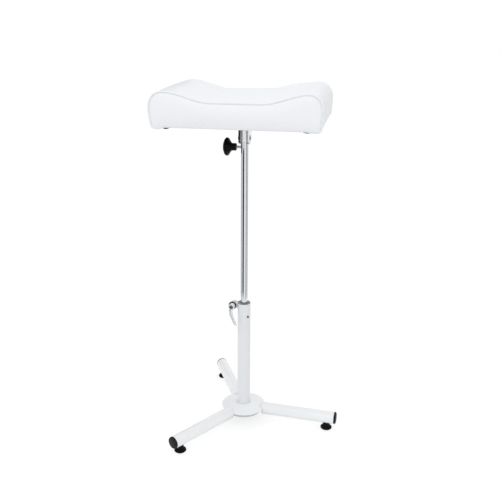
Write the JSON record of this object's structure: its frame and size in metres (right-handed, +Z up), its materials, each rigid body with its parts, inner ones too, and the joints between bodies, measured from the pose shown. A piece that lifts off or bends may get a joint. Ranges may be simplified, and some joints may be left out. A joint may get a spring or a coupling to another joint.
{
  "type": "pedicure footrest",
  "caption": "Height-adjustable footrest for pedicure: a padded trough that tilts and swivels on a telescopic chromed post, standing on a tubular tripod with a clamp lever.",
  "frame": {"origin": "on the floor, at the middle of the outline seen from above", "axes": "+Z up; -Y is the front, where the person who gives the treatment sits; +X runs along the pad to the right, about along the right leg"},
  "size_m": [0.4006, 0.4002, 0.7917],
  "materials": {
    "white_coat": "white powder coat, slight gloss",
    "black_plastic": "black moulded plastic, satin",
    "black_knob": "black moulded thermoset, half gloss",
    "black_rubber": "black rubber, matt",
    "grey_plastic": "grey acetal, satin",
    "dark_steel": "blackened steel",
    "plated_steel": "zinc plated",
    "satin_zinc": "satin die-cast metal",
    "chrome": "bright chrome plate",
    "brass": "turned brass",
    "plywood": "birch plywood",
    "black_cloth": "black non-woven cloth",
    "white_vinyl": "smooth white vinyl-coated cloth over foam",
    "white_piping": "white vinyl piping"
  },
  "bodies": {
    "base": {"hub_dome": "white_coat", "hub_cap": "plated_steel", "leg_right": "white_coat", "leg_front_left": "white_coat", "leg_rear_left": "white_coat", "leg_plug_right": "black_plastic", "leg_plug_front_left": "black_plastic", "leg_plug_rear_left": "black_plastic", "foot_right": "black_rubber", "foot_front_left": "black_rubber", "foot_rear_left": "black_rubber", "column_tube": "white_coat", "guide_bush": "grey_plastic", "bush_screw": "plated_steel", "clamp_nut": "plated_steel"},
    "clamp_stud": {"lever_stud": "plated_steel", "lever_insert": "dark_steel", "lever_screw": "dark_steel"},
    "clamp_handle": {"lever_handle": "satin_zinc"},
    "post": {"post_tube": "chrome", "post_glide": "black_plastic", "glide_rivet": "plated_steel", "knob_boss": "chrome"},
    "shoe": {"pressure_shoe": "brass"},
    "knob": {"knob_body": "black_knob", "knob_stud": "plated_steel"},
    "head": {"tilt_head": "chrome"},
    "cushion": {"tilt_bracket": "chrome", "pivot_pin": "chrome", "plate_screw_1": "plated_steel", "plate_screw_2": "plated_steel", "plate_screw_3": "plated_steel", "plate_screw_4": "plated_steel", "pad_board": "plywood", "dust_cover": "black_cloth", "cushion_pad": "white_vinyl", "piping_front": "white_piping", "piping_rear": "white_piping"}
  },
  "joints": [
    {"name": "post_height", "type": "slide", "parent": "base", "child": "post", "axis": [0, 0, 1], "range_m": [-0.226, 0]},
    {"name": "clamp_turn", "type": "hinge", "parent": "base", "child": "clamp_stud", "pos_m": [-0.05036, -0.0051, 0.2927], "axis": [-0.068, -0.9977, 0], "range_deg": [-75, 75]},
    {"name": "handle_lift", "type": "slide", "parent": "clamp_stud", "child": "clamp_handle", "axis": [-0.068, -0.9977, 0], "range_m": [0, 0.004], "stiffness_N_per_m": 1500, "springref_m": -0.002},
    {"name": "shoe_press", "type": "slide", "parent": "post", "child": "shoe", "axis": [-1, 0, 0], "range_m": [0, 0.001]},
    {"name": "knob_turn", "type": "hinge", "parent": "shoe", "child": "knob", "pos_m": [-0.02501, -0.00683, 0.659], "axis": [-1, 0, 0], "range_deg": [0, 360]},
    {"name": "head_swivel", "type": "hinge", "parent": "post", "child": "head", "pos_m": [-0.02501, -0.00683, 0.659], "axis": [0, 0, 1], "range_deg": [-180, 180]},
    {"name": "cushion_tilt", "type": "hinge", "parent": "head", "child": "cushion", "pos_m": [-0.02501, -0.00683, 0.679], "axis": [1, 0, 0], "range_deg": [-40, 40]}
  ],
  "couplings": [
    {"joint": "shoe_press", "follows": "knob_turn", "m_per_rad": 0.00015915}
  ]
}
